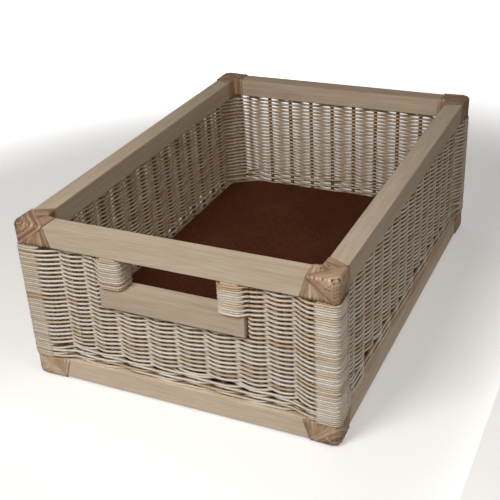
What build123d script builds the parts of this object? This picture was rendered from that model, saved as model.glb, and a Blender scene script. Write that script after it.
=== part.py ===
from build123d import *
import os
from math import sqrt

# Wicker pet bed basket: a square-stock wooden frame with woven walls, a grip slot in the front wall,
# rattan bindings over the eight corners and a loose mat on a plywood base board.
# Millimetres, +Z up, handle towards -Y, origin at the middle of the footprint on the floor.

# Frame, between the rails' outer faces
WIDTH = 420.0
LENGTH = 600.0
HEIGHT = 222.0
RAIL_W = 27.0
RAIL_H = 28.0
EDGE_EASE = 1.5

# Corner bindings: strips of rattan skin round the rails' ends, which the basket also stands on
BIND_T = 3.0
BIND_REACH = 50.0
BIND_CHAMFER = 5.0

# Posts and the strands wound round them
WRAP_T = 3.0
POST_ROUND = 5.0

# Woven walls: strands in front of and behind a row of upright stakes
WEAVE_T = 12.0
WEAVE_INSET = 10.0
STAKE_D = 6.0
STAKE_SEAT = 10.0
BORE_CLEARANCE = 0.05
FRONT_STAKES = (20.0, 60.0, 104.0, 138.0)
BACK_STAKE_FIRST = -126.0
BACK_STAKE_PITCH = 37.7
BACK_STAKE_COUNT = 8
SIDE_STAKE_PITCH = 36.5
SIDE_STAKES_PER_HALF = 7

# Handle: a bar below the grip slot, and two short posts between the bar and the top rail
BAR_LENGTH = 194.0
BAR_H = 27.5
BAR_BOTTOM = 123.5
SLOT_WIDTH = 128.0

# Base board in a rebate of the bottom rails, and the loose mat on it
REBATE_W = 10.0
REBATE_D = 3.0
BOARD_T = 6.0
BOARD_CORNER = (36.0, 28.0)
MAT_T = 4.0
MAT_GAP = 0.3
MAT_MARGIN = 5.0
MAT_CORNER = (34.0, 26.0)

# Fasteners
SCREW_D = 4.0
SCREW_HEAD_D = 7.0
SCREW_HEAD_H = 3.0
SCREW_LENGTH = 50.0
CROSS_SCREW_INSET = 7.0
POST_SCREW_INSET = (8.0, 12.0)
DOWEL_D = 6.0
DOWEL_LENGTH = 24.0
NAIL_D = 1.8
NAIL_HEAD_D = 4.5
NAIL_HEAD_H = 1.0
NAIL_LENGTH = 15.0
NAIL_PITCH = 100.0

# Worked out from the above
X_OUT = WIDTH / 2
Y_OUT = LENGTH / 2
X_IN = X_OUT - RAIL_W
Y_IN = Y_OUT - RAIL_W
Z_FOOT = BIND_T
Z_LOW = Z_FOOT + RAIL_H
Z_HIGH = Z_FOOT + HEIGHT - RAIL_H
Z_TOP = Z_FOOT + HEIGHT
BAR_LOW = Z_FOOT + BAR_BOTTOM
BAR_HIGH = BAR_LOW + BAR_H
Y_WEAVE = Y_OUT - WEAVE_INSET
X_WEAVE = X_OUT - WEAVE_INSET
GRIP_X = SLOT_WIDTH / 2 + WRAP_T + RAIL_W / 2
Y_POST = Y_OUT - RAIL_W / 2
RAIL_CHAMFER = BIND_CHAMFER - (2 - sqrt(2)) * BIND_T
BOARD_TOP = Z_LOW - REBATE_D + BOARD_T
BOARD_X = X_IN + REBATE_W
BOARD_Y = Y_IN + REBATE_W
SIDE_STAKES = [SIDE_STAKE_PITCH * (i + 0.5) for i in range(SIDE_STAKES_PER_HALF)]
BACK_STAKES = [BACK_STAKE_FIRST + BACK_STAKE_PITCH * i for i in range(BACK_STAKE_COUNT)]
CORNERS = {
    "front_left": (-1, -1),
    "front_right": (1, -1),
    "back_left": (-1, 1),
    "back_right": (1, 1),
}


def block(x, y, z):
    """A box from three (low, high) ranges, given in either order."""
    spans = [sorted(span) for span in (x, y, z)]
    size = [high - low for low, high in spans]
    centre = [(high + low) / 2 for low, high in spans]
    return Pos(*centre) * Box(*size)


def upright(x, y, bottom, top, diameter):
    """A vertical round rod."""
    return Pos(x, y, (bottom + top) / 2) * Cylinder(diameter / 2, top - bottom)


def both(places):
    """Each distance on both sides of the middle."""
    return [side * place for place in places for side in (-1, 1)]


def slab(points, bottom, top):
    """A flat piece with the given outline."""
    return Pos(0, 0, bottom) * extrude(make_face(Polyline(*points, close=True)), top - bottom)


def clipped_outline(half_x, half_y, corner):
    """A rectangle about the middle with its corners cut off at a slant."""
    cut_x, cut_y = corner
    quarter = [(half_x, half_y - cut_y), (half_x - cut_x, half_y)]
    left = [(-x, y) for x, y in reversed(quarter)]
    return quarter + left + [(-x, -y) for x, y in quarter + left]


# Screws, nails and dowels, and where they go


def screw_at(place, direction, extra=0.0):
    """A countersunk screw whose head is flush with place, pointing along direction."""
    shank = Pos(0, 0, -SCREW_LENGTH / 2) * Cylinder(SCREW_D / 2 + extra, SCREW_LENGTH)
    head = Pos(0, 0, -SCREW_HEAD_H / 2) * Cone(
        SCREW_D / 2 + extra, SCREW_HEAD_D / 2 + extra, SCREW_HEAD_H
    )
    frame = Plane(origin=place, z_dir=[-d for d in direction])
    return frame * (shank + head)


def corner_screws(extra=0.0):
    """At each corner of the top and bottom frames, one screw through the end rail into the side
    rail, and one through the end rail into the post."""
    inset_x, inset_y = POST_SCREW_INSET
    screws = []
    for side_x, side_y in CORNERS.values():
        for face_z, into in ((Z_TOP, -1), (Z_FOOT, 1)):
            across_x = side_x * (X_IN + CROSS_SCREW_INSET)
            across = (across_x, side_y * Y_OUT, face_z + into * RAIL_H / 2)
            screws.append(screw_at(across, (0, -side_y, 0), extra))
            down = (side_x * (X_OUT - inset_x), side_y * (Y_OUT - inset_y), face_z)
            screws.append(screw_at(down, (0, 0, into), extra))
    return screws


def handle_dowels(extra=0.0):
    """Dowels across the handle posts' two end joints."""
    dowels = []
    for x in both([GRIP_X]):
        for joint_z in (BAR_HIGH, Z_HIGH):
            low = joint_z - DOWEL_LENGTH / 2
            high = joint_z + DOWEL_LENGTH / 2
            dowels.append(upright(x, -Y_POST, low, high, DOWEL_D + 2 * extra))
    return dowels


def base_nails(extra=0.0):
    """Nails through the base board's rim, down into the rebates of the bottom rails."""
    rim_x = BOARD_X - REBATE_W / 2
    rim_y = BOARD_Y - REBATE_W / 2
    places = [(x, NAIL_PITCH * i) for x in both([rim_x]) for i in range(-2, 3)]
    places += [(NAIL_PITCH * i, y) for y in both([rim_y]) for i in range(-1, 2)]
    nails = []
    for x, y in places:
        shank = upright(x, y, BOARD_TOP - NAIL_LENGTH, BOARD_TOP, NAIL_D + 2 * extra)
        head = upright(x, y, BOARD_TOP - NAIL_HEAD_H, BOARD_TOP, NAIL_HEAD_D + 2 * extra)
        nails.append(shank + head)
    return nails


# Upright stakes of the woven walls


def end_stakes(side_y, places, top):
    """Stakes of the front or back wall, seated in the bottom rail and in what is above them."""
    y = side_y * Y_WEAVE
    return [upright(x, y, Z_LOW - STAKE_SEAT, top + STAKE_SEAT, STAKE_D) for x in places]


def side_stakes(side_x):
    """Stakes of a long wall, seated in its bottom and top rails."""
    x = side_x * X_WEAVE
    low = Z_LOW - STAKE_SEAT
    high = Z_HIGH + STAKE_SEAT
    return [upright(x, y, low, high, STAKE_D) for y in both(SIDE_STAKES)]


def stake_bores(side_x=0, side_y=0):
    """Bores for one wall's stakes, full height, with a little clearance."""
    low = Z_LOW - STAKE_SEAT
    high = Z_HIGH + STAKE_SEAT
    bore = STAKE_D + 2 * BORE_CLEARANCE
    if side_y:
        places = both(FRONT_STAKES) if side_y < 0 else BACK_STAKES
        return [upright(x, side_y * Y_WEAVE, low, high, bore) for x in places]
    return [upright(side_x * X_WEAVE, y, low, high, bore) for y in both(SIDE_STAKES)]


def grip_stake_bores():
    """Bores in the handle bar's underside for the front wall's short stakes."""
    bore = STAKE_D + 2 * BORE_CLEARANCE
    low = BAR_LOW - STAKE_SEAT
    high = BAR_LOW + STAKE_SEAT
    return [upright(x, -Y_WEAVE, low, high, bore) for x in both(FRONT_STAKES[:2])]


# Frame


def end_rail(side_y, bottom, is_bottom):
    """A short-side rail over the full width, its outer corners cut off under the bindings."""
    rail = block((-X_OUT, X_OUT), (side_y * Y_OUT, side_y * Y_IN), (bottom, bottom + RAIL_H))
    rail = fillet(rail.edges().filter_by(Axis.X), EDGE_EASE)
    for side_x in (-1, 1):
        corner = [
            (side_x * X_OUT, side_y * Y_OUT),
            (side_x * (X_OUT - RAIL_CHAMFER), side_y * Y_OUT),
            (side_x * X_OUT, side_y * (Y_OUT - RAIL_CHAMFER)),
        ]
        rail -= slab(corner, bottom, bottom + RAIL_H)
    if is_bottom:
        rail -= block((-X_IN, X_IN), (side_y * BOARD_Y, side_y * Y_IN), (Z_LOW - REBATE_D, Z_LOW))
    elif side_y < 0:
        rail -= handle_dowels(BORE_CLEARANCE)
    rail -= corner_screws(BORE_CLEARANCE)
    bores = stake_bores(side_y=side_y)
    if side_y < 0 and not is_bottom:
        bores = [bore for bore in bores if abs(bore.center().X) > BAR_LENGTH / 2]
    rail -= bores
    if is_bottom:
        rail -= base_nails(BORE_CLEARANCE)
    return rail


def side_rail(side_x, bottom, is_bottom):
    """A long-side rail, butted between the two end rails."""
    rail = block((side_x * X_OUT, side_x * X_IN), (-Y_IN, Y_IN), (bottom, bottom + RAIL_H))
    rail = fillet(rail.edges().filter_by(Axis.Y), EDGE_EASE)
    if is_bottom:
        rail -= block((side_x * BOARD_X, side_x * X_IN), (-Y_IN, Y_IN), (Z_LOW - REBATE_D, Z_LOW))
        rail -= base_nails(BORE_CLEARANCE)
    rail -= corner_screws(BORE_CLEARANCE)
    rail -= stake_bores(side_x=side_x)
    return rail


def post(x, y, bottom, top, around=0.0):
    """A square post with rounded edges, or with around the space it takes with its wrap."""
    side = RAIL_W + 2 * around
    plan = Pos(x, y, bottom) * RectangleRounded(side, side, POST_ROUND + around)
    return extrude(plan, top - bottom)


def corner_post(side_x, side_y):
    body = post(side_x * (X_OUT - RAIL_W / 2), side_y * Y_POST, Z_LOW, Z_HIGH)
    return body - corner_screws(BORE_CLEARANCE)


def wrap(x, y, bottom, top):
    """The layer of strands wound round a post."""
    return post(x, y, bottom, top, WRAP_T) - post(x, y, bottom, top)


def handle_post(side_x):
    body = post(side_x * GRIP_X, -Y_POST, BAR_HIGH, Z_HIGH)
    return body - handle_dowels(BORE_CLEARANCE)


def handle_bar():
    """The bar below the grip slot, flush with the rails' outer face."""
    bar = block((-BAR_LENGTH / 2, BAR_LENGTH / 2), (-Y_OUT, -Y_IN), (BAR_LOW, BAR_HIGH))
    bar = fillet(bar.edges().filter_by(Axis.X), EDGE_EASE)
    bar -= handle_dowels(BORE_CLEARANCE)
    bar -= grip_stake_bores()
    return bar


# Woven walls, each one closed slab as thick as the weave, with a bore for every stake


def end_weave(side_y):
    x = X_IN - WRAP_T
    y = side_y * Y_WEAVE
    wall = block((-x, x), (y - WEAVE_T / 2, y + WEAVE_T / 2), (Z_LOW, Z_HIGH))
    return wall - stake_bores(side_y=side_y)


def front_weave():
    """The front wall, open for the handle bar and for all that is above it."""
    half = BAR_LENGTH / 2
    y = -Y_WEAVE
    gap = block((-half, half), (y - WEAVE_T, y + WEAVE_T), (BAR_LOW, Z_HIGH))
    return end_weave(-1) - gap


def side_weave(side_x):
    y = Y_IN - WRAP_T
    x = side_x * X_WEAVE
    wall = block((x - WEAVE_T / 2, x + WEAVE_T / 2), (-y, y), (Z_LOW, Z_HIGH))
    return wall - stake_bores(side_x=side_x)


# Corner bindings: two mitred channels of rattan skin over the rails' ends


def channel_plan(side_x, side_y, along_x, depth):
    """Plan of one half of a corner binding, depth inside its outer face."""
    x = X_OUT + BIND_T - depth
    y = Y_OUT + BIND_T - depth
    inner_x = X_IN - BIND_T + depth
    inner_y = Y_IN - BIND_T + depth
    cut = BIND_CHAMFER - (2 - sqrt(2)) * depth
    mitre = (x - cut / 2, y - cut / 2)
    if along_x:
        end = X_OUT - BIND_REACH
        plan = [(end, inner_y), (inner_x, inner_y), mitre, (x - cut, y), (end, y)]
    else:
        end = Y_OUT - BIND_REACH
        plan = [(inner_x, end), (inner_x, inner_y), mitre, (x, y - cut), (x, end)]
    return [(side_x * px, side_y * py) for px, py in plan]


def corner_binding(side_x, side_y, is_top):
    """A cap over a top corner, or a shoe under a bottom one that stops below the base board."""
    if is_top:
        skin = (Z_HIGH, Z_TOP + BIND_T)
        room = (Z_HIGH, Z_TOP)
    else:
        skin = (Z_FOOT - BIND_T, Z_LOW)
        room = (Z_FOOT, Z_LOW)
    board_room = block((-X_IN, X_IN), (-Y_IN, Y_IN), (Z_LOW - REBATE_D, Z_LOW))
    halves = []
    for along_x in (True, False):
        outside = slab(channel_plan(side_x, side_y, along_x, 0.0), *skin)
        inside = slab(channel_plan(side_x, side_y, along_x, BIND_T), *room)
        halves.append(outside - inside - board_room)
    return halves


# Floor of the basket


def base_board():
    outline = clipped_outline(BOARD_X, BOARD_Y, BOARD_CORNER)
    return slab(outline, BOARD_TOP - BOARD_T, BOARD_TOP) - base_nails(BORE_CLEARANCE)


def mat():
    """A loose fabric mat, narrow enough to lift out between the top rails and their bindings."""
    outline = clipped_outline(X_IN - MAT_MARGIN, Y_IN - MAT_MARGIN, MAT_CORNER)
    bottom = BOARD_TOP + MAT_GAP
    return slab(outline, bottom, bottom + MAT_T)


def all_nodes():
    """Every node as a list of its solids."""
    nodes = {
        "handle_bar": handle_bar(),
        "weave_front": front_weave(),
        "weave_back": end_weave(1),
        "stakes_front_long": end_stakes(-1, both(FRONT_STAKES[2:]), Z_HIGH),
        "stakes_front_short": end_stakes(-1, both(FRONT_STAKES[:2]), BAR_LOW),
        "stakes_back": end_stakes(1, BACK_STAKES, Z_HIGH),
        "corner_screws": corner_screws(),
        "handle_dowels": handle_dowels(),
        "base_nails": base_nails(),
        "base_board": base_board(),
        "mat": mat(),
    }
    for name, side_y in (("front", -1), ("back", 1)):
        nodes[f"top_rail_{name}"] = end_rail(side_y, Z_HIGH, False)
        nodes[f"bottom_rail_{name}"] = end_rail(side_y, Z_FOOT, True)
    for name, side_x in (("left", -1), ("right", 1)):
        nodes[f"top_rail_{name}"] = side_rail(side_x, Z_HIGH, False)
        nodes[f"bottom_rail_{name}"] = side_rail(side_x, Z_FOOT, True)
        nodes[f"weave_{name}"] = side_weave(side_x)
        nodes[f"stakes_{name}"] = side_stakes(side_x)
        nodes[f"handle_post_{name}"] = handle_post(side_x)
        nodes[f"handle_wrap_{name}"] = wrap(side_x * GRIP_X, -Y_POST, BAR_HIGH, Z_HIGH)
    for name, (side_x, side_y) in CORNERS.items():
        x = side_x * (X_OUT - RAIL_W / 2)
        nodes[f"corner_post_{name}"] = corner_post(side_x, side_y)
        nodes[f"corner_wrap_{name}"] = wrap(x, side_y * Y_POST, Z_LOW, Z_HIGH)
        nodes[f"corner_binding_top_{name}"] = corner_binding(side_x, side_y, True)
        nodes[f"corner_binding_bottom_{name}"] = corner_binding(side_x, side_y, False)
    return nodes


os.makedirs("parts", exist_ok=True)
for node, shapes in all_nodes().items():
    pieces = shapes if isinstance(shapes, list) else [shapes]
    solids = [solid for piece in pieces for solid in piece.solids()]
    export_step(solids[0] if len(solids) == 1 else Compound(children=solids), f"parts/{node}.step")
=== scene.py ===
"""Looks of the wicker pet bed basket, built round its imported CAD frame. Metres, +Z up."""

import math
import random

import bmesh
import bpy
import numpy as np
from mathutils import Matrix, Vector


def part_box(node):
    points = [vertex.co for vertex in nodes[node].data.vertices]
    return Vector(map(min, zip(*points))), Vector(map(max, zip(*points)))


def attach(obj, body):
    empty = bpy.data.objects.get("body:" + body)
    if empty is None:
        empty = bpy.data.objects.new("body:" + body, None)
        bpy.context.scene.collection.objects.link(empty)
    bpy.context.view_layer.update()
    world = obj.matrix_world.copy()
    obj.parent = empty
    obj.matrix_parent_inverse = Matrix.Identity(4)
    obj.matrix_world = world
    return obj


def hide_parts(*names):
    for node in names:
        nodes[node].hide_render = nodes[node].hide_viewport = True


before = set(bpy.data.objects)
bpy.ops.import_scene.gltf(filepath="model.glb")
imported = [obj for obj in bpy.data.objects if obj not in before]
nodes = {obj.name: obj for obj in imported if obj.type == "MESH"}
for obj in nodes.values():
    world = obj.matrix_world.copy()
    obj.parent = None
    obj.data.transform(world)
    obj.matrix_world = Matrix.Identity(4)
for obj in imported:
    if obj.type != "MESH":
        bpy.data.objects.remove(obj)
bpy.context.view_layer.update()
MM = 0.001
rng = random.Random(11)

# Measures read from the frame
end_rail_low, end_rail_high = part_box("top_rail_front")
bar_low, bar_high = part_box("handle_bar")
X_OUT = end_rail_high.x
Y_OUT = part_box("top_rail_back")[1].y
Z_TOP = end_rail_high.z
Z_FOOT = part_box("bottom_rail_front")[0].z
WALL_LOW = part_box("bottom_rail_front")[1].z
WALL_HIGH = end_rail_low.z
RAIL_W = end_rail_high.y - end_rail_low.y
RAIL_H = end_rail_high.z - end_rail_low.z
WEAVE_X = sum(c.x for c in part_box("weave_right")) / 2
WEAVE_Y = sum(c.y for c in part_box("weave_back")) / 2
HANDLE_X = sum(c.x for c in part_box("handle_post_right")) / 2
MAT_LOW, MAT_HIGH = (c.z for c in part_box("mat"))

# Strands of round rattan core, a little thicker than the rows are high, because they lie pressed
# together
STRAND_R = 1.7 * MM
STRAND_SIDES = 8
STRAND_STEP = 4.2 * MM
STAKE_R = 3.0 * MM
POST_ROUND = 5.0 * MM
SWING = STAKE_R + STRAND_R
POST_LEAD = 4.0 * MM

# How far off the round of a post's inner edge an inside row passes, just clear of the strand wound
# there
POST_CLEAR = 3.1 * STRAND_R

# A strand's own radius, as shares of STRAND_R, on the posts and in the rows
WOUND_RADII = (0.94, 1.0)
ROW_RADII = (0.95, 1.03)

# A strand's own tone from 0 to 1, and how it drifts: how far, radians to the metre, and phase
TONE_MEAN = 0.57
TONE_SPREAD = 0.16
DRIFT = 0.16
DRIFT_TURNS = (4.0, 12.0)
DRIFT_PHASES = (0.0, 6.0)

# Rows: a band of waling at the bottom, then plain weave up to the top rails
WALE_ROWS = 7
WALE_PITCH = 2.9 * MM
ROW_PITCH = 3.05 * MM
TOP_GAP = 1.6 * MM
ROW_PROUD = 0.5 * MM
ROW_JITTER = 0.12 * MM

# Unevenness shared by neighbouring strands: height, turns along x, y and z, and phase of each wave
RIPPLES = (
    (0.30 * MM, (61, 47, 9), 1.0),
    (0.25 * MM, (-118, 83, 23), 2.1),
    (0.18 * MM, (171, -149, -37), 0.4),
)

# The lowest rows rise where they cross, just past the last stake beside each post
LIFT = 3.0 * MM
LIFT_DEPTH = 40.0 * MM
LIFT_REACH = 17.0 * MM
LIFT_PAST_STAKE = 14.5 * MM

UP = np.array([0.0, 0.0, 1.0])
WALLS = {
    "front": (np.array([1.0, 0.0]), np.array([0.0, -1.0])),
    "right": (np.array([0.0, 1.0]), np.array([1.0, 0.0])),
    "back": (np.array([-1.0, 0.0]), np.array([0.0, 1.0])),
    "left": (np.array([0.0, -1.0]), np.array([-1.0, 0.0])),
}
WALL_ORDER = ["front", "right", "back", "left"]
CORNER_AFTER = {
    "front": "front_right",
    "right": "back_right",
    "back": "back_left",
    "left": "front_left",
}
CORNER_SIDES = {
    "front_left": (-1, -1),
    "front_right": (1, -1),
    "back_left": (-1, 1),
    "back_right": (1, 1),
}
HANDLE_SIDES = {"handle_right": 1, "handle_left": -1}


# Meshes


def new_object(name, points, faces, smooth=True, **attributes):
    """A mesh object from points and faces, with one float attribute for each named list. Only its
    four-sided faces are smoothed, and not the end caps."""
    mesh = bpy.data.meshes.new(name)
    mesh.from_pydata([tuple(p) for p in points], [], faces)
    for key, values in attributes.items():
        layer = mesh.attributes.new(key, "FLOAT", "POINT")
        layer.data.foreach_set("value", np.asarray(values, dtype=np.float32))
    mesh.polygons.foreach_set("use_smooth", [smooth and len(face) == 4 for face in faces])
    mesh.update()
    obj = bpy.data.objects.new(name, mesh)
    bpy.context.scene.collection.objects.link(obj)
    return obj


class Bundle:
    """Many tubes gathered into one mesh, each with its tone and the distance run along it."""

    def __init__(self):
        self.points = []
        self.faces = []
        self.tones = []
        self.runs = []
        self.across = []
        self.total = 0

    def add(self, rings, tones, runs, closed=False, section=None):
        """Adds a tube given as rings of points, with a tone and a run for each ring. section says
        how far off the middle line each point of a ring lies, up to 1 at the edges. For a round
        strand the edges are its top and bottom."""
        count, sides = rings.shape[:2]
        if section is None:
            section = np.abs(np.sin(np.arange(sides) * 2 * math.pi / sides))
        start = self.total
        self.points.append(rings.reshape(-1, 3))
        self.tones.append(np.repeat(tones, sides))
        self.runs.append(np.repeat(runs, sides))
        self.across.append(np.tile(section, count))
        self.total += count * sides
        for i in range(count if closed else count - 1):
            here = start + i * sides
            there = start + (i + 1) % count * sides
            for j in range(sides):
                k = (j + 1) % sides
                self.faces.append((here + j, there + j, there + k, here + k))
        if not closed:
            last = start + (count - 1) * sides
            self.faces.append(tuple(range(start, start + sides)))
            self.faces.append(tuple(range(last + sides - 1, last - 1, -1)))

    def object(self, name):
        """The tubes as one mesh object."""
        points = np.concatenate(self.points)
        tones = np.concatenate(self.tones)
        runs = np.concatenate(self.runs)
        across = np.concatenate(self.across)
        return new_object(name, points, self.faces, tone=tones, run=runs, across=across)


def tangents(path, closed):
    """Unit directions along a path."""
    if closed:
        ahead = np.roll(path, -1, axis=0) - np.roll(path, 1, axis=0)
    else:
        ahead = np.gradient(path, axis=0)
    return ahead / np.linalg.norm(ahead, axis=1)[:, None]


def tube_rings(path, radius, closed=False):
    """Rings of points round a path that never climbs steeply."""
    ahead = tangents(path, closed)
    side = np.cross(ahead, UP)
    side /= np.linalg.norm(side, axis=1)[:, None]
    over = np.cross(side, ahead)
    turn = np.arange(STRAND_SIDES) * 2 * math.pi / STRAND_SIDES
    ring = np.cos(turn)[None, :, None] * side[:, None, :]
    ring = ring + np.sin(turn)[None, :, None] * over[:, None, :]
    return path[:, None, :] + radius * ring


# Routes: points with a height and a heading in plan, joined by smooth curves


def curve(stops, closed=False):
    """Points along the smooth curve through the stops, and the index of each stop in it."""
    pairs = list(zip(stops, stops[1:] + stops[:1])) if closed else list(zip(stops, stops[1:]))
    points = []
    marks = []
    total = 0
    for (place_a, z_a, head_a), (place_b, z_b, head_b) in pairs:
        start = np.array([*place_a, z_a])
        end = np.array([*place_b, z_b])
        chord = np.linalg.norm(end - start)
        turn = math.acos(max(-1.0, min(1.0, float(np.dot(head_a, head_b)))))
        handle = chord
        if turn > 1e-6:
            handle *= 2 * math.tan(turn / 4) / math.sin(turn / 2)
        count = max(2, math.ceil(chord / STRAND_STEP))
        u = (np.arange(count) / count)[:, None]
        leave = np.array([*head_a, 0.0]) * handle
        arrive = np.array([*head_b, 0.0]) * handle
        marks.append(total)
        total += count
        points.append(
            (2 * u**3 - 3 * u**2 + 1) * start
            + (u**3 - 2 * u**2 + u) * leave
            + (3 * u**2 - 2 * u**3) * end
            + (u**3 - u**2) * arrive
        )
    path = np.concatenate(points)
    if not closed:
        last_place, last_z, _ = stops[-1]
        path = np.vstack([path, [*last_place, last_z]])
        marks.append(total)
    return path, marks


def stake_places(node, wall):
    """How far along its wall each stake of a CAD node stands, in the wall's direction."""
    ahead = WALLS[wall][0]
    along = sorted(float(ahead @ [v.co.x, v.co.y]) for v in nodes[node].data.vertices)
    groups = [[along[0]]]
    for value in along[1:]:
        if value - groups[-1][-1] > STAKE_R:
            groups.append([])
        groups[-1].append(value)
    return [(group[0] + group[-1]) / 2 for group in groups]


STAKES = {
    "front": sorted(
        stake_places("stakes_front_long", "front") + stake_places("stakes_front_short", "front")
    ),
    "right": stake_places("stakes_right", "right"),
    "back": stake_places("stakes_back", "back"),
    "left": stake_places("stakes_left", "left"),
}
FIRST_GRIP_STAKE = next(i for i, x in enumerate(STAKES["front"]) if x > bar_high.x)
LAST_GRIP_STAKE = len(STAKES["front"]) - 1 - FIRST_GRIP_STAKE
GRIP_STAKE_X = STAKES["front"][FIRST_GRIP_STAKE]
WALL_DEPTH = {"front": WEAVE_Y, "right": WEAVE_X, "back": WEAVE_Y, "left": WEAVE_X}


def all_row_heights():
    """Heights of the rows' middles, from the waling up."""
    heights = [WALL_LOW + STRAND_R + WALE_PITCH * i for i in range(WALE_ROWS)]
    waled = heights[-1]
    span = WALL_HIGH - TOP_GAP - STRAND_R - waled
    count = round(span / ROW_PITCH)
    return heights + [waled + span * (i + 1) / count for i in range(count)]


ROW_HEIGHTS = all_row_heights()


def is_outside(row, station):
    """Whether a row passes outside the stake or post at a station, counted round the basket."""
    if row < WALE_ROWS:
        return (row + station) % 3 > 0
    return (row + station) % 2 == 0


def next_wall(wall):
    """The wall after a wall, counted round the basket."""
    return WALL_ORDER[(WALL_ORDER.index(wall) + 1) % len(WALL_ORDER)]


def post_middle(corner):
    """Where a corner post's middle stands in plan."""
    side_x, side_y = CORNER_SIDES[corner]
    return np.array([side_x * (X_OUT - RAIL_W / 2), side_y * (Y_OUT - RAIL_W / 2)])


def handle_middle(side):
    """Where the middle of the handle post on a side, 1 or -1, stands in plan."""
    return np.array([side * HANDLE_X, -(Y_OUT - RAIL_W / 2)])


def stake_stop(wall, along, z, outside):
    """Where a row passes a stake."""
    ahead, out = WALLS[wall]
    depth = WALL_DEPTH[wall] + (SWING if outside else -SWING)
    return (ahead * along + out * depth, z, ahead)


def corner_stops(wall, z, outside):
    """How a row turns the corner at the end of a wall: over the post's two outer faces, or across
    its inner edge, just clear of the strand wound round it there."""
    ahead, out = WALLS[wall]
    next_ahead, next_out = WALLS[next_wall(wall)]
    middle = post_middle(CORNER_AFTER[wall])
    flat = RAIL_W / 2 - POST_ROUND
    if not outside:
        inner = middle - (out + next_out) * flat
        place = inner - (out + next_out) / math.sqrt(2) * (POST_ROUND + POST_CLEAR)
        return [(place, z, (ahead + next_ahead) / math.sqrt(2))]
    face = RAIL_W / 2 + STRAND_R + ROW_PROUD
    return [
        (middle + out * face - ahead * (flat + POST_LEAD), z, ahead),
        (middle + out * face + ahead * flat, z, ahead),
        (middle + next_out * face - next_ahead * flat, z, next_ahead),
        (middle + next_out * face + next_ahead * (flat + POST_LEAD), z, next_ahead),
    ]


def ring_stops(middle, z):
    """A strand's turn round a post."""
    flat = RAIL_W / 2 - POST_ROUND
    face = RAIL_W / 2 + STRAND_R
    stops = []
    for ahead, out in WALLS.values():
        stops.append((middle + out * face - ahead * flat, z, ahead))
        stops.append((middle + out * face + ahead * flat, z, ahead))
    return stops


def mirrored(stops):
    """The same route on the other side of the basket's middle, travelled the other way."""
    flip = np.array([-1.0, 1.0])
    back = np.array([1.0, -1.0])
    return [(place * flip, z, head * back) for place, z, head in reversed(stops)]


def handle_start(row, on_post):
    """How a row that passes outside the stake right of the handle begins: it comes back from the
    next row up round that stake, or above the bar round the handle post."""
    z = ROW_HEIGHTS[row]
    above = ROW_HEIGHTS[row + 1] if row + 1 < len(ROW_HEIGHTS) else z
    right = np.array([1.0, 0.0])
    front = np.array([0.0, -1.0])
    stake = np.array([GRIP_STAKE_X, -WEAVE_Y])
    behind = (stake - front * SWING, above, -right)
    if not on_post:
        return [behind, (stake - right * SWING, (z + above) / 2, front)]
    middle = handle_middle(1)
    flat = RAIL_W / 2 - POST_ROUND
    face = RAIL_W / 2 + STRAND_R + ROW_PROUD
    return [
        behind,
        (middle - front * face + right * (flat + POST_LEAD), z, -right),
        (middle - front * face - right * flat, z, -right),
        (middle - right * face - front * flat, z, front),
        (middle - right * face + front * flat, z, front),
        (middle + front * face - right * flat, z, right),
        (middle + front * face + right * flat, z, right),
    ]


def handle_zone(row):
    """below: the row runs under the bar. bar: it stops beside it. post: it winds on the posts."""
    z = ROW_HEIGHTS[row]
    if z + STRAND_R <= bar_low.z:
        return "below"
    return "bar" if z - STRAND_R < bar_high.z else "post"


def row_route(row, z):
    """The stops of a row, each with the piece that it belongs to, and the corners where it passes
    inside the post. The row runs round the basket, or from one side of the handle to the other."""
    zone = handle_zone(row)
    is_open = zone != "below"
    first = FIRST_GRIP_STAKE if is_open else 0
    route = []
    wound = []
    if is_open and is_outside(row, first + 1):
        owner = "handle_right" if zone == "post" else "front"
        route += [(owner, stop) for stop in handle_start(row, zone == "post")]
    station = 1
    for wall in WALL_ORDER:
        places = STAKES[wall]
        for i in range(first if wall == "front" else 0, len(places)):
            route.append((wall, stake_stop(wall, places[i], z, is_outside(row, station + i))))
        station += len(places)
        corner = CORNER_AFTER[wall]
        outside = is_outside(row, station)
        turn = corner_stops(wall, z, outside)
        route += [(corner, stop) for stop in turn[:-1]]
        route.append((next_wall(wall), turn[-1]))
        if not outside:
            wound.append(corner)
        station += 1
    if is_open:
        for i in range(LAST_GRIP_STAKE + 1):
            route.append(("front", stake_stop("front", STAKES["front"][i], z, is_outside(row, i + 1))))
        if is_outside(row, LAST_GRIP_STAKE + 1):
            owner = "handle_left" if zone == "post" else "front"
            _, stake = route.pop()
            route += [(owner, stop) for stop in [stake] + mirrored(handle_start(row, zone == "post"))]
    return route, wound


# The weave


def ripple(points):
    """A slow unevenness in height, shared by neighbouring strands, so that their spacing holds."""
    return sum(height * np.sin(points @ turns + phase) for height, turns, phase in RIPPLES)


def corner_lift(points):
    """How far the lowest rows rise where they cross in the gap beside a post."""
    x, y, z = np.abs(points.T)
    lift_x = STAKES["front"][-1] + LIFT_PAST_STAKE
    lift_y = STAKES["right"][-1] + LIFT_PAST_STAKE
    from_end = np.abs(x - lift_x) + np.abs(y - WEAVE_Y)
    from_side = np.abs(y - lift_y) + np.abs(x - WEAVE_X)
    share = np.clip(1 - (z - WALL_LOW) / LIFT_DEPTH, 0, 1)
    return LIFT * share * np.exp(-((np.minimum(from_end, from_side) / LIFT_REACH) ** 2))


def strand_tones(runs):
    """A strand's tone, drifting along its length."""
    base = min(1.0, max(0.0, rng.gauss(TONE_MEAN, TONE_SPREAD)))
    drift = DRIFT * np.sin(runs * rng.uniform(*DRIFT_TURNS) + rng.uniform(*DRIFT_PHASES))
    return base + drift


def runs_along(path):
    """The distance run at each point of a path."""
    return np.concatenate([[0], np.cumsum(np.linalg.norm(np.diff(path, axis=0), axis=1))])


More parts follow.
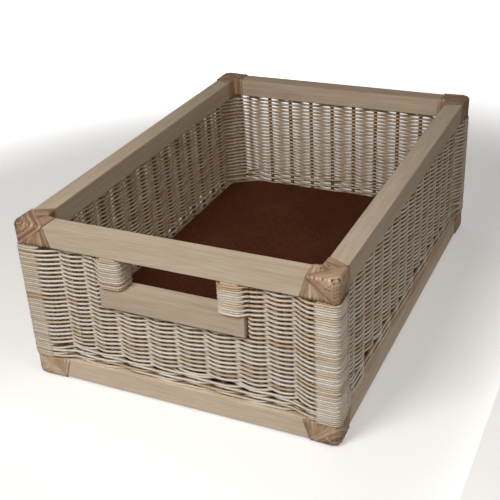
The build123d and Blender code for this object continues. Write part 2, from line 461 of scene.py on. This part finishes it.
def wind_post(bundle, middle, z):
    """One turn of strand round a post, between the rows that pass outside it."""
    path, _ = curve(ring_stops(middle, z), closed=True)
    path[:, 2] += ripple(path)
    runs = np.arange(len(path)) * STRAND_STEP
    rings = tube_rings(path, STRAND_R * rng.uniform(*WOUND_RADII), closed=True)
    bundle.add(rings, strand_tones(runs), runs, closed=True)


def lay_row(bundles, route, closed):
    """Adds a row to the bundles, cut where it passes from one piece to the next."""
    owners = [owner for owner, _ in route]
    path, marks = curve([stop for _, stop in route], closed)
    path[:, 2] += ripple(path) + corner_lift(path)
    rings = tube_rings(path, STRAND_R * rng.uniform(*ROW_RADII), closed)
    runs = runs_along(path)
    tones = strand_tones(runs)
    if closed:
        marks.append(len(path))
        rings = np.concatenate([rings, rings[:1]])
        runs = np.append(runs, runs[-1] + STRAND_STEP)
        tones = np.append(tones, tones[0])
    start = 0
    for i in range(1, len(marks)):
        if i == len(marks) - 1 or owners[i] != owners[start]:
            part = slice(marks[start], marks[i] + 1)
            bundles[owners[start]].add(rings[part], tones[part], runs[part])
            start = i


def weave():
    """Every row of the four walls, shared out between the walls, corners and handle posts."""
    bundles = {name: Bundle() for name in [*WALL_ORDER, *CORNER_SIDES, *HANDLE_SIDES]}
    for row, height in enumerate(ROW_HEIGHTS):
        z = height + rng.uniform(-ROW_JITTER, ROW_JITTER)
        route, wound = row_route(row, z)
        for corner in wound:
            wind_post(bundles[corner], post_middle(corner), z)
        zone = handle_zone(row)
        lay_row(bundles, route, closed=zone == "below")
        for name, side in HANDLE_SIDES.items():
            stake = FIRST_GRIP_STAKE if side > 0 else LAST_GRIP_STAKE
            if zone == "post" and not is_outside(row, stake + 1):
                wind_post(bundles[name], handle_middle(side), z)
    return bundles


# Corner lashings: strips of flat rattan skin round the rails' ends. A corner's own axes, in mm, are
# u along the end rail and v along the side rail, both from the outer edge, and w into the rail's
# height.


STRIP_W = 5.6 * MM
TUCK_W = 3.4 * MM
STRIP_T = 0.8 * MM
STRIP_STEP = 4.0 * MM
ARRIS = 1.5 * MM
ARRIS_STEPS = 4
VERTEX_CUT = 3.2
INSIDE = RAIL_W / MM
FAR_EDGE = RAIL_H / MM - 0.3
FACES = {
    "end": (0, -1, 0),
    "side": (-1, 0, 0),
    "cap": (0, 0, -1),
    "end_inside": (0, 1, 0),
    "side_inside": (1, 0, 0),
    "cut": (-math.sqrt(0.5), -math.sqrt(0.5), 0),
    "inner_cut": (math.sqrt(0.5), math.sqrt(0.5), 0),
}
SWAPPED = {"end": "side", "side": "end", "end_inside": "side_inside", "side_inside": "end_inside"}
SECTION = np.array([-1.0, -0.78, -0.3, 0.3, 0.78, 1.0, 0.5, -0.5])
SECTION_HEIGHT = np.array([0.12, 0.75, 1.0, 1.0, 0.75, 0.12, -0.1, -0.1])
REACH = {
    "front_left": (39.0, 35.0),
    "front_right": (33.5, 34.0),
    "back_left": (36.0, 36.0),
    "back_right": (36.0, 36.0),
}

# Bands round the corner's point, as shares of the reach and of the depth down the point
BAND_DEPTH = 29.0
BAND_SHARES = (1.0, 0.85, 0.70, 0.55, 0.40, 0.26)
BAND_JITTER = 0.5

# Loops round a rail: they lie side by side, over the top from the first one's reach back by
# LOOP_STACK, and on the outer face they fan from LOOP_FLARE past it to LOOP_FAN nearer the corner.
# On the inner face the first lies INNER_MORE past its reach, and each leans by LOOP_LEAN.
LOOPS = 8
LOOP_STACK = 12.0
LOOP_FLARE = 8.0
LOOP_FAN = 36.0
LOOP_LAST_INNER = 28.5
LOOP_LEAN = 1.0
LOOP_JITTER = 0.6
INNER_MORE = {"end": 2.0, "side": 11.0}

# How many strip thicknesses above the wood each kind of strip lies. Loops and bands rise one by one.
LOOP_LAYER = 0.1
EDGE_LAYER = 0.9
FOLD_LAYER = 0.8
BAND_LAYER = 1.2
BAND_RISE = 0.12
END_LAYERS = (1.9, 2.1)

# A strip's own tone from 0 to 1, and how far along its grain it may start
SKIN_MEAN = 0.48
SKIN_SPREAD = 0.2
SKIN_TONES = (0.05, 0.95)
GRAIN_STARTS = (0.0, 50.0)

# Painted light and shade on some corners' skin: the top front left and both top back corners are
# shifted darker as painted shade, the bottom front left corner lighter as painted light.
SKIN_PAINTED_LIGHT_AND_SHADE = {
    ("top", "front_left"): -0.25,
    ("top", "back_left"): -0.25,
    ("top", "back_right"): -0.25,
    ("bottom", "front_left"): 0.2,
}


def jitter(most):
    """A small random shift either way."""
    return rng.uniform(-most, most)


def turn_normal(a, b, part):
    """A face normal part of the way from a to b."""
    angle = math.acos(max(-1.0, min(1.0, float(a @ b))))
    return (math.sin((1 - part) * angle) * a + math.sin(part * angle) * b) / math.sin(angle)


def strip_path(points, faces, height):
    """A path over the rails' faces, and its normals. It starts at the first point, runs on each
    face in turn, bends round the arris at each point between, and ends at the last."""
    points = [np.array(p) * MM for p in points]
    normals = [np.array(FACES[name], dtype=float) for name in faces]
    path = [points[0] + normals[0] * height]
    ways = [normals[0]]
    for point, before, after in zip(points[1:-1], normals, normals[1:]):
        centre = point - ARRIS * (before + after) / (1 + before @ after)
        for i in range(ARRIS_STEPS + 1):
            way = turn_normal(before, after, i / ARRIS_STEPS)
            path.append(centre + (ARRIS + height) * way)
            ways.append(way)
    path.append(points[-1] + normals[-1] * height)
    ways.append(normals[-1])
    fine_path = [path[0]]
    fine_ways = [ways[0]]
    for a, b, way_a, way_b in zip(path, path[1:], ways, ways[1:]):
        count = max(1, math.ceil(np.linalg.norm(b - a) / STRIP_STEP))
        for i in range(1, count + 1):
            fine_path.append(a + (b - a) * i / count)
            fine_ways.append(way_a + (way_b - way_a) * i / count)
    return np.array(fine_path), np.array(fine_ways)


def add_strip(bundle, points, faces, layer, width=STRIP_W):
    """A flat strip laid over the faces of a corner, so many strip thicknesses above the wood."""
    path, ways = strip_path(points, faces, layer * STRIP_T)
    closed = bool(np.allclose(points[0], points[-1]))
    if closed:
        path = path[:-1]
        ways = ways[:-1]
    ahead = tangents(path, closed)
    side = np.cross(ways, ahead)
    side /= np.linalg.norm(side, axis=1)[:, None]
    over = np.cross(ahead, side)
    reach = SECTION * width / 2
    lift = SECTION_HEIGHT * STRIP_T
    rings = path[:, None, :] + reach[None, :, None] * side[:, None, :]
    rings = rings + lift[None, :, None] * over[:, None, :]
    least, most = SKIN_TONES
    tone = min(most, max(least, rng.gauss(SKIN_MEAN, SKIN_SPREAD)))
    runs = runs_along(path) + rng.uniform(*GRAIN_STARTS)
    bundle.add(rings, np.full(len(path), tone), runs, closed, section=SECTION)


def add_pair(bundle, points, faces, layer, width=STRIP_W):
    """A strip by the end rail and its twin by the side rail, with u and v exchanged."""
    add_strip(bundle, points, faces, layer, width)
    twin = [(v, u, w) for u, v, w in points]
    add_strip(bundle, twin, [SWAPPED.get(face, face) for face in faces], layer, width)


def rail_loops(bundle, rail, reach):
    """Strips wound round the end rail or the side rail beside the corner, fanning out on its outer
    face."""
    first_inner = reach + INNER_MORE[rail]
    for i in range(LOOPS):
        share = i / (LOOPS - 1)
        upper = reach - LOOP_STACK * share + jitter(LOOP_JITTER)
        lower = reach + LOOP_FLARE - LOOP_FAN * share + jitter(LOOP_JITTER)
        inner = first_inner + (LOOP_LAST_INNER - first_inner) * share
        foot = inner + LOOP_LEAN
        points = [(lower, 0, FAR_EDGE), (upper, 0, 0), (inner, INSIDE, 0), (foot, INSIDE, FAR_EDGE)]
        faces = ["end", "cap", "end_inside"]
        if rail == "side":
            points = [(v, u, w) for u, v, w in points]
            faces = [SWAPPED.get(face, face) for face in faces]
        add_strip(bundle, points, faces, LOOP_LAYER * (i + 1))


def point_bands(bundle, reach_u, reach_v):
    """Strips drawn round the corner's point, one inside the other."""
    for i, share in enumerate(BAND_SHARES):
        u = reach_u * share + jitter(BAND_JITTER)
        v = reach_v * share + jitter(BAND_JITTER)
        w = BAND_DEPTH * share
        low_u = w * (1 - VERTEX_CUT / u)
        low_v = w * (1 - VERTEX_CUT / v)
        middle = (u / 2, v / 2, 0)
        points = [middle, (u, 0, 0), (VERTEX_CUT, 0, low_u), (0, VERTEX_CUT, low_v), (0, v, 0), middle]
        layer = BAND_LAYER + BAND_RISE * i
        add_strip(bundle, points, ["cap", "end", "cut", "side", "cap"], layer)


def tucked_ends(bundle):
    """The strip down the corner's inner edge, and the two beside it down the rails' inner faces."""
    inner = INSIDE + 1.3
    down_edge = [(11, 11, 0), (inner, inner, 0), (inner, inner, FAR_EDGE)]
    add_strip(bundle, down_edge, ["cap", "inner_cut"], EDGE_LAYER)
    past = INSIDE + 6
    down_inside = [(13, 7, 0), (past, INSIDE, 0), (past, INSIDE, FAR_EDGE)]
    add_pair(bundle, down_inside, ["cap", "end_inside"], FOLD_LAYER)


def point_ends(bundle):
    """The strip folded over the corner's point, and the short ends crossed beside it."""
    half_cut = VERTEX_CUT / 2
    over_point = [(12, 12, 0), (half_cut, half_cut, 0), (half_cut, half_cut, 0.5 * FAR_EDGE)]
    add_strip(bundle, over_point, ["cap", "cut"], FOLD_LAYER)
    lower, upper = END_LAYERS
    add_pair(bundle, [(17, 0, 2.5), (8, 0, 11)], ["end"], lower, width=TUCK_W)
    add_pair(bundle, [(7, 0, 3), (14, 0, 10)], ["end"], upper, width=TUCK_W)


def lashing(corner, level):
    """All the strips of one corner of the top or bottom frame, as one mesh."""
    bundle = Bundle()
    reach_u, reach_v = REACH[corner]
    rail_loops(bundle, "end", reach_u)
    rail_loops(bundle, "side", reach_v)
    tucked_ends(bundle)
    point_bands(bundle, reach_u, reach_v)
    point_ends(bundle)
    # Painted light and shade on some corners, as a shift in their strips' tone.
    shift = SKIN_PAINTED_LIGHT_AND_SHADE.get((level, corner), 0.0)
    bundle.tones = [tone + shift for tone in bundle.tones]
    piece = bundle.object(f"corner_lashing_{level}_{corner}")
    mesh = piece.data
    local = np.empty(len(mesh.vertices) * 3, dtype=np.float32)
    mesh.vertices.foreach_get("co", local)
    u, v, w = local.reshape(-1, 3).T
    z = Z_TOP - w if level == "top" else Z_FOOT + w
    side_x, side_y = CORNER_SIDES[corner]
    placed = np.stack([side_x * (X_OUT - u), side_y * (Y_OUT - v), z], axis=1)
    mesh.vertices.foreach_set("co", placed.astype(np.float32).ravel())
    shell = bmesh.new()
    shell.from_mesh(mesh)
    bmesh.ops.recalc_face_normals(shell, faces=shell.faces)
    shell.to_mesh(mesh)
    shell.free()
    mesh.update()
    return piece


# Materials


class Shader:
    """A node material under construction."""

    def __init__(self, name):
        self.material = bpy.data.materials.new(name)
        self.material.use_nodes = True
        self.tree = self.material.node_tree
        self.surface = self.tree.nodes["Principled BSDF"]

    def node(self, kind, inputs=None, **settings):
        """A new shader node with its inputs fed and its settings made."""
        made = self.tree.nodes.new("ShaderNode" + kind)
        for key, value in settings.items():
            setattr(made, key, value)
        for key, value in (inputs or {}).items():
            self.feed(made.inputs[key], value)
        return made

    def feed(self, socket, value):
        """Sets a socket to a value, or links another node's output to it."""
        if isinstance(value, bpy.types.NodeSocket):
            self.tree.links.new(value, socket)
        else:
            socket.default_value = value

    def place(self, scale):
        """Coordinates on the object, stretched by a factor along each axis."""
        coords = self.node("TexCoord").outputs["Object"]
        return self.node("Mapping", {"Vector": coords, "Scale": scale}).outputs["Vector"]

    def noise(self, vector, scale, detail=4.0, roughness=0.55, distortion=0.0):
        inputs = {
            "Vector": vector,
            "Scale": scale,
            "Detail": detail,
            "Roughness": roughness,
            "Distortion": distortion,
        }
        return self.node("TexNoise", inputs).outputs["Fac"]

    def ramp(self, factor, stops):
        """Colours by factor, from (position, colour) stops."""
        made = self.node("ValToRGB", {"Fac": factor})
        ramp = made.color_ramp
        while len(ramp.elements) < len(stops):
            ramp.elements.new(0.5)
        for element, (position, colour) in zip(ramp.elements, stops):
            element.position = position
            element.color = (*colour, 1.0)
        return made.outputs["Color"]

    def mix(self, factor, first, second, blend="MIX"):
        """Two colours blended by a factor."""
        made = self.node("Mix", data_type="RGBA", blend_type=blend)
        sockets = (made.inputs[0], made.inputs[6], made.inputs[7])
        for socket, value in zip(sockets, (factor, first, second)):
            if isinstance(value, tuple):
                value = (*value, 1.0)
            self.feed(socket, value)
        return made.outputs[2]

    def math(self, operation, first, second=0.5):
        made = self.node("Math", operation=operation)
        self.feed(made.inputs[0], first)
        self.feed(made.inputs[1], second)
        return made.outputs[0]

    def bump(self, height, strength, distance):
        """Dents the surface by a height."""
        inputs = {"Height": height, "Strength": strength, "Distance": distance}
        normal = self.node("Bump", inputs).outputs["Normal"]
        self.feed(self.surface.inputs["Normal"], normal)

    def set(self, **values):
        """Feeds the surface's sockets, named with _ for each space."""
        for key, value in values.items():
            self.feed(self.surface.inputs[key.replace("_", " ")], value)


def srgb(red, green, blue):
    """A linear colour from everyday 0 to 255 values."""
    def linear(value):
        value /= 255
        return value / 12.92 if value <= 0.04045 else ((value + 0.055) / 1.055) ** 2.4

    return tuple(linear(v) for v in (red, green, blue))


def pine(name, axis, shift=0.0, painted_light=(1.0, 1.0, 1.0)):
    """Pale sawn pine with its grain along one axis, tinted by painted light and shade, and painted
    darker along its rounded edges as painted shade against the lamps' highlight there."""
    shader = Shader(name)
    stretch = [1.0, 1.0, 1.0]
    stretch[axis] = 0.05
    coords = shader.place(tuple(stretch))
    moved = shader.node("Mapping", {"Vector": coords, "Location": (shift, shift, shift)}).outputs[0]
    broad = shader.noise(moved, 45.0, detail=2.0)
    fine = shader.noise(moved, 420.0, detail=3.0)
    wood = shader.ramp(
        broad,
        [(0.30, srgb(206, 186, 167)), (0.48, srgb(218, 202, 181)), (0.70, srgb(224, 209, 189))],
    )
    lines = shader.ramp(fine, [(0.35, srgb(218, 205, 192)), (0.6, (1.0, 1.0, 1.0))])
    grained = shader.mix(0.4, wood, lines, "MULTIPLY")
    shaded = shader.mix(1.0, grained, painted_light, "MULTIPLY")
    # Painted shade on the rounded edges, where the normal lies between the axes: it damps the lamps'
    # highlight there.
    facing = shader.node("NewGeometry").outputs["Normal"]
    facing = shader.node("VectorMath", {0: facing}, operation="ABSOLUTE").outputs["Vector"]
    sides = shader.node("SeparateXYZ", {"Vector": facing}).outputs
    squareness = shader.math("MAXIMUM", shader.math("MAXIMUM", sides[0], sides[1]), sides[2])
    painted_edge_shade = shader.ramp(squareness, [(0.75, srgb(214, 208, 200)), (0.98, (1.0, 1.0, 1.0))])
    shader.set(Base_Color=shader.mix(1.0, shaded, painted_edge_shade, "MULTIPLY"), Roughness=0.7)
    shader.bump(fine, 0.12, 0.3 * MM)
    return shader.material


def rattan_core(name, painted_light):
    """Round strands of peeled rattan: cream, some peach or grey, each its own tone, tinted by painted
    light and shade, and darker at their tops and bottoms as painted shade between the rows."""
    shader = Shader(name)
    tone = shader.node("Attribute", attribute_name="tone").outputs["Fac"]
    coords = shader.place((1.0, 1.0, 1.0))
    mottle = shader.noise(coords, 55.0, detail=3.0)
    speck = shader.noise(coords, 900.0, detail=2.0)
    spread = shader.math("MULTIPLY", shader.math("SUBTRACT", mottle, 0.5), 0.5)
    value = shader.math("ADD", tone, spread)
    colour = shader.ramp(
        value,
        [
            (0.05, srgb(190, 154, 116)),
            (0.26, srgb(210, 189, 158)),
            (0.46, srgb(219, 206, 186)),
            (0.80, srgb(229, 221, 208)),
        ],
    )
    dirt = shader.ramp(speck, [(0.35, srgb(205, 190, 170)), (0.55, (1.0, 1.0, 1.0))])
    # Painted shade between the rows: darker towards each strand's top and bottom, where it presses on
    # its neighbours.
    across = shader.node("Attribute", attribute_name="across").outputs["Fac"]
    painted_crevice_shade = shader.ramp(across, [(0.75, (1.0, 1.0, 1.0)), (1.0, srgb(168, 142, 116))])
    dirty = shader.mix(0.4, colour, dirt, "MULTIPLY")
    crevice_shaded = shader.mix(1.0, dirty, painted_crevice_shade, "MULTIPLY")
    shader.set(Base_Color=shader.mix(1.0, crevice_shaded, painted_light, "MULTIPLY"), Roughness=0.55)
    shader.bump(speck, 0.2, 0.3 * MM)
    return shader.material


def stake_core():
    """Brown rattan with its fibres upright, darkened as painted shade for the gaps where it shows."""
    shader = Shader("stake_core")
    coords = shader.place((1.0, 1.0, 0.06))
    fibre = shader.noise(coords, 500.0, detail=3.0)
    colour = shader.ramp(fibre, [(0.3, srgb(104, 74, 48)), (0.7, srgb(146, 112, 80))])
    shader.set(Base_Color=colour, Roughness=0.6)
    shader.bump(fibre, 0.3, 0.3 * MM)
    return shader.material


def rattan_skin():
    """Flat tan rattan peel with fine lengthwise fibres and a slight sheen."""
    shader = Shader("rattan_skin")
    tone = shader.node("Attribute", attribute_name="tone").outputs["Fac"]
    coords = shader.place((1.0, 1.0, 1.0))
    mottle = shader.noise(coords, 70.0, detail=4.0)
    spread = shader.math("MULTIPLY", shader.math("SUBTRACT", mottle, 0.5), 0.8)
    value = shader.math("ADD", tone, spread)
    colour = shader.ramp(
        value,
        [
            (0.10, srgb(152, 120, 94)),
            (0.45, srgb(190, 160, 130)),
            (1.00, srgb(222, 200, 174)),
        ],
    )
    across = shader.node("Attribute", attribute_name="across").outputs["Fac"]
    run = shader.node("Attribute", attribute_name="run").outputs["Fac"]
    apart = shader.math("MULTIPLY", tone, 90.0)
    along = shader.math("MULTIPLY", run, 12.0)
    vector = shader.node("CombineXYZ", {"X": across, "Y": along, "Z": apart})
    # Painted shade at the strips' edges, where one strip steps over another.
    rim = shader.math("ABSOLUTE", across)
    painted_groove_shade = shader.ramp(rim, [(0.60, (1.0, 1.0, 1.0)), (1.0, srgb(178, 158, 140))])
    fibre = shader.noise(vector.outputs["Vector"], 4.5, detail=3.0)
    streak = shader.ramp(fibre, [(0.3, srgb(196, 180, 164)), (0.6, (1.0, 1.0, 1.0))])
    streaked = shader.mix(0.6, colour, streak, "MULTIPLY")
    shader.set(Base_Color=shader.mix(1.0, streaked, painted_groove_shade, "MULTIPLY"), Roughness=0.45)
    shader.bump(fibre, 0.3, 0.3 * MM)
    return shader.material


def brown_felt():
    """Dark brown felt with a fine fuzz and faint broad patches."""
    shader = Shader("brown_felt")
    coords = shader.place((1.0, 1.0, 1.0))
    fuzz = shader.noise(coords, 620.0, detail=3.0)
    patch = shader.noise(coords, 14.0, detail=3.0)
    value = shader.math("ADD", shader.math("MULTIPLY", fuzz, 0.8), shader.math("MULTIPLY", patch, 0.2))
    colour = shader.ramp(value, [(0.36, srgb(60, 30, 19)), (0.64, srgb(108, 62, 43))])
    shader.set(Base_Color=colour, Roughness=0.95)
    shader.surface.inputs["Specular IOR Level"].default_value = 0.08
    shader.bump(fuzz, 0.35, 0.5 * MM)
    return shader.material


def plywood():
    """Plywood with its face grain along the x axis."""
    shader = Shader("plywood")
    coords = shader.place((0.12, 1.0, 1.0))
    grain = shader.noise(coords, 90.0, detail=5.0, distortion=0.6)
    colour = shader.ramp(grain, [(0.3, srgb(176, 138, 96)), (0.7, srgb(214, 182, 138))])
    shader.set(Base_Color=colour, Roughness=0.6)
    shader.bump(grain, 0.15, 0.3 * MM)
    return shader.material


def dowel_wood():
    """Dowel wood with upright grain."""
    shader = Shader("dowel_wood")
    coords = shader.place((1.0, 1.0, 0.08))
    grain = shader.noise(coords, 350.0, detail=3.0)
    colour = shader.ramp(grain, [(0.3, srgb(190, 156, 116)), (0.7, srgb(220, 192, 152))])
    shader.set(Base_Color=colour, Roughness=0.55)
    shader.bump(grain, 0.2, 0.3 * MM)
    return shader.material


def zinc_steel():
    """Zinc-plated steel with a fine spangle."""
    shader = Shader("zinc_steel")
    coords = shader.place((1.0, 1.0, 1.0))
    spangle = shader.noise(coords, 700.0, detail=3.0)
    colour = shader.ramp(spangle, [(0.3, srgb(150, 150, 146)), (0.7, srgb(196, 196, 190))])
    roughness = shader.node("MapRange", {"Value": spangle, "To Min": 0.28, "To Max": 0.5})
    shader.set(Base_Color=colour, Roughness=roughness.outputs["Result"])
    shader.surface.inputs["Metallic"].default_value = 1.0
    shader.bump(spangle, 0.1, 0.1 * MM)
    return shader.material


def cover(names, material):
    """Gives a material to CAD nodes."""
    for name in names:
        mesh = nodes[name].data
        mesh.materials.clear()
        mesh.materials.append(material)


# Painted light and shade on the frame's wood and on the strands: the top rails and the bar are
# painted darker as shade, the back rail most, and the bottom rails painted lighter, standing for
# the light the floor would throw up.
TOP_RAIL_PAINTED_SHADES = {
    "front": (0.87, 0.86, 0.845),
    "back": (0.83, 0.80, 0.76),
    "left": (0.86, 0.845, 0.82),
    "right": (0.84, 0.83, 0.81),
}
BOTTOM_RAIL_PAINTED_LIGHT = (1.07, 1.05, 1.04)
# Strands on the walls in the light take a lighter, cooler tint. Those inside the back and left walls
# and at the back left corner take darker, warmer painted shade, and those at the front left corner and
# on the left handle post a darker painted shade.
CORE_LIT_TINT = (1.02, 1.05, 1.10)
WARM_PAINTED_SHADE = (0.96, 0.88, 0.80)
CORE_PAINTED_SHADES = {
    "left": WARM_PAINTED_SHADE,
    "back": (0.86, 0.78, 0.70),
    "back_left": WARM_PAINTED_SHADE,
    "front_left": (0.88, 0.87, 0.87),
    "handle_left": (0.89, 0.88, 0.89),
}


def finish_wood():
    """Pine on every rail, the bar and the posts, and the other hidden pieces' own materials."""
    # Each rail's pine takes its painted light and shade from the tables above.
    for i, (side, top_painted_shade) in enumerate(TOP_RAIL_PAINTED_SHADES.items()):
        axis = 0 if side in ("front", "back") else 1
        cover([f"top_rail_{side}"], pine(f"pine_top_{side}", axis, 1.7 * i, top_painted_shade))
        cover([f"bottom_rail_{side}"], pine(f"pine_bottom_{side}", axis, 8.0 + 1.7 * i, BOTTOM_RAIL_PAINTED_LIGHT))
    cover(["handle_bar"], pine("pine_bar", 0, 15.0, TOP_RAIL_PAINTED_SHADES["front"]))
    posts = [n for n in nodes if n.startswith(("corner_post", "handle_post"))]
    cover(posts, pine("pine_posts", 2, 17.0))
    cover([n for n in nodes if n.startswith("stakes")], stake_core())
    cover(["base_board"], plywood())
    cover(["handle_dowels"], dowel_wood())
    cover(["corner_screws", "base_nails"], zinc_steel())


# Mat


MAT_CLEAR = 2.0 * MM
MAT_CORNER = (42.0 * MM, 24.0 * MM)
MAT_STEP = 8.0 * MM
MAT_RINGS = 24
MAT_LUMP = 0.25 * MM

# Two waves whose product lumps the mat's top: turns along x and y, and phase
MAT_WAVES = ((31.0, 17.0, 0.0), (-11.0, 23.0, 1.0))

# The section of the mat's rim: how far in, and how high as a share of its thickness
MAT_RIM = (
    (4.0 * MM, 0.0),
    (1.2 * MM, 0.0),
    (0.0, 0.5),
    (0.5 * MM, 0.78),
    (1.6 * MM, 0.95),
    (3.2 * MM, 1.0),
)


def mat_outline(half_x, half_y):
    """Points round a rectangle whose corners are clipped and a little rounded."""
    cut_x, cut_y = MAT_CORNER
    quarter = [(half_x, half_y - cut_y), (half_x - cut_x, half_y)]
    half = quarter + [(-x, y) for x, y in reversed(quarter)]
    corners = np.array(half + [(-x, -y) for x, y in half])
    outline = []
    for a, b in zip(corners, np.roll(corners, -1, axis=0)):
        count = max(2, round(np.linalg.norm(b - a) / MAT_STEP))
        outline += [a + (b - a) * i / count for i in range(count)]
    outline = np.array(outline)
    return (np.roll(outline, 1, axis=0) + 2 * outline + np.roll(outline, -1, axis=0)) / 4


def make_mat():
    """The loose mat: a thin felt pad with rounded edges and clipped corners, pressed flat."""
    half = np.array([WEAVE_X, WEAVE_Y]) - SWING - STRAND_R - MAT_CLEAR
    outline = mat_outline(*half)
    thick = MAT_HIGH - MAT_LOW
    rings = []
    for inset, share in MAT_RIM:
        ring = outline * (1 - inset / half)
        rings.append(np.column_stack([ring, np.full(len(ring), MAT_LOW + share * thick)]))
    rim = rings[-1][:, :2]
    for i in range(1, MAT_RINGS):
        x, y = (rim * (1 - i / MAT_RINGS)).T
        first, second = (np.sin(turn_x * x + turn_y * y + phase) for turn_x, turn_y, phase in MAT_WAVES)
        rings.append(np.column_stack([x, y, MAT_HIGH + MAT_LUMP * first * second]))
    size = len(outline)
    faces = []
    for i in range(len(rings) - 1):
        for j in range(size):
            k = (j + 1) % size
            faces.append((i * size + j, i * size + k, (i + 1) * size + k, (i + 1) * size + j))
    last = (len(rings) - 1) * size
    faces.append(tuple(range(last, last + size)))
    faces.append(tuple(range(size - 1, -1, -1)))
    mat = new_object("felt_mat", np.concatenate(rings), faces)
    mat.data.materials.append(brown_felt())
    return mat


# Stage


UP_AXIS = Vector((0, 0, 1))
CAMERA_AZIMUTH = math.radians(26.14)
CAMERA_ELEVATION = math.radians(28.75)
CAMERA_ROLL = math.radians(-3.17)
CAMERA_DISTANCE = 1.3672
CAMERA_LENS = 66.31
CAMERA_TARGET = Vector((-0.0339, -0.0069, 0.0660))

# Lamps: place, what they face, size, power and colour. The rear one lights the back left corner
# from behind. The two bounces stand just off the floor and face the walls' feet, in place of the
# light that the floor would throw back.
LAMPS = {
    "key": ((-0.18, -1.0, 1.02), (0, 0, 0.1), (0.45, 0.45), 9.6, (1.0, 0.965, 0.93)),
    "fill": ((0.95, -0.55, 0.85), (0, 0, 0.15), (0.5, 0.5), 2.3, (1.0, 0.97, 0.93)),
    "front": ((0.50, -1.10, 0.76), (0, 0, 0.1), (0.12, 0.12), 0.9, (1.0, 0.97, 0.94)),
    "rear": ((-0.9, 1.15, 0.16), (-X_OUT, Y_OUT, 0.1), (0.8, 0.2), 5.0, (1.0, 0.98, 0.96)),
    "bounce": ((-0.03, -0.48, 0.015), (0, -Y_OUT, 0.02), (0.5, 0.06), 0.09, (1.0, 0.95, 0.9)),
    "side_bounce": ((0.36, -0.1, 0.015), (X_OUT, -0.1, 0.02), (0.6, 0.06), 0.05, (1.0, 0.97, 0.94)),
}
SKY = (1.0, 0.93, 0.845)
SKY_STRENGTH = 0.145

# The floor's own light: least near the basket's middle, full further off
FLOOR_SIZE = 12.0
FLOOR_WHITE = (0.9, 0.9, 0.9, 1.0)
GLOW_LEAST = 0.3
GLOW_NEAR = 0.65
GLOW_FAR = 1.05


def look_at(obj, target, roll=0.0):
    """Turns a camera or light at its place so that it faces the target, rolled about its view."""
    back = (obj.location - target).normalized()
    across = UP_AXIS.cross(back).normalized()
    over = back.cross(across)
    turned_x = math.cos(roll) * across + math.sin(roll) * over
    turned_y = math.cos(roll) * over - math.sin(roll) * across
    axes = Matrix((turned_x, turned_y, back)).transposed()
    obj.rotation_euler = axes.to_euler()


def area_light(name, place, target, size, power, colour):
    """A rectangular lamp, itself out of sight, that faces a target."""
    data = bpy.data.lights.new(name, "AREA")
    data.shape = "RECTANGLE"
    data.size, data.size_y = size
    data.energy = power
    data.color = colour
    light = bpy.data.objects.new(name, data)
    light.location = place
    light.visible_camera = False
    look_at(light, Vector(target))
    bpy.context.scene.collection.objects.link(light)


def make_camera():
    """The camera, and colours shown as they are."""
    scene = bpy.context.scene
    scene.view_settings.view_transform = "Standard"
    data = bpy.data.cameras.new("camera")
    data.lens = CAMERA_LENS
    data.sensor_width = 36.0
    camera = bpy.data.objects.new("camera", data)
    level = math.cos(CAMERA_ELEVATION)
    away = Vector((
        math.sin(CAMERA_AZIMUTH) * level,
        -math.cos(CAMERA_AZIMUTH) * level,
        math.sin(CAMERA_ELEVATION),
    ))
    camera.location = CAMERA_TARGET + away * CAMERA_DISTANCE
    look_at(camera, CAMERA_TARGET, CAMERA_ROLL)
    scene.collection.objects.link(camera)
    scene.camera = camera


def make_lights():
    """A dim sky and the lamps."""
    world = bpy.data.worlds.new("white_room")
    world.use_nodes = True
    sky = world.node_tree.nodes["Background"]
    sky.inputs["Color"].default_value = (*SKY, 1.0)
    sky.inputs["Strength"].default_value = SKY_STRENGTH
    bpy.context.scene.world = world
    for name, settings in LAMPS.items():
        area_light(name, *settings)


def pale_floor():
    """White, lit by the lamps and shaded by the basket, with a glow of its own that grows away
    from the basket's middle."""
    shader = Shader("pale_floor")
    coords = shader.node("TexCoord").outputs["Object"]
    distance = shader.node("VectorMath", {0: coords}, operation="LENGTH").outputs["Value"]
    reach = {"From Min": GLOW_NEAR, "From Max": GLOW_FAR, "To Min": GLOW_LEAST, "To Max": 1.0}
    glow = shader.node("MapRange", {"Value": distance, **reach}, interpolation_type="SMOOTHSTEP")
    shader.set(Base_Color=FLOOR_WHITE, Emission_Color=FLOOR_WHITE, Roughness=0.9)
    shader.set(Emission_Strength=glow.outputs["Result"])
    shader.surface.inputs["Specular IOR Level"].default_value = 0.0
    return shader.material


def make_floor():
    """A floor with a backdrop standing far off on every side. Neither throws light on the basket."""
    corners = [(-1, -1), (1, -1), (1, 1), (-1, 1)]
    points = [(x * FLOOR_SIZE, y * FLOOR_SIZE, z) for z in (0, FLOOR_SIZE) for x, y in corners]
    faces = [(0, 1, 2, 3)]
    for i in range(4):
        j = (i + 1) % 4
        faces.append((i, j, j + 4, i + 4))
    floor = new_object("floor", points, faces, smooth=False)
    floor.visible_diffuse = False
    floor.visible_glossy = False
    floor.visible_shadow = False
    floor.data.materials.append(pale_floor())


# Put together


def stand_for(piece, node, material):
    """Gives a rigid piece its material, and puts it in a CAD node's place."""
    piece.data.materials.append(material)
    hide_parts(node)
    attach(piece, "frame")


make_camera()
make_lights()
make_floor()
finish_wood()

for owner, bundle in weave().items():
    # Each owner's strands take their painted light and shade, the lit tint where none is listed.
    core = rattan_core(f"rattan_core_{owner}", CORE_PAINTED_SHADES.get(owner, CORE_LIT_TINT))
    if owner in WALL_ORDER:
        name, node = f"wall_strands_{owner}", f"weave_{owner}"
    elif owner in CORNER_SIDES:
        name, node = f"corner_strands_{owner}", f"corner_wrap_{owner}"
    else:
        name, node = owner.replace("_", "_strands_"), owner.replace("_", "_wrap_")
    stand_for(bundle.object(name), node, core)

skin = rattan_skin()
for corner in CORNER_SIDES:
    for level in ("top", "bottom"):
        stand_for(lashing(corner, level), f"corner_binding_{level}_{corner}", skin)

mat = make_mat()
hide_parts("mat")
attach(mat, "mat")
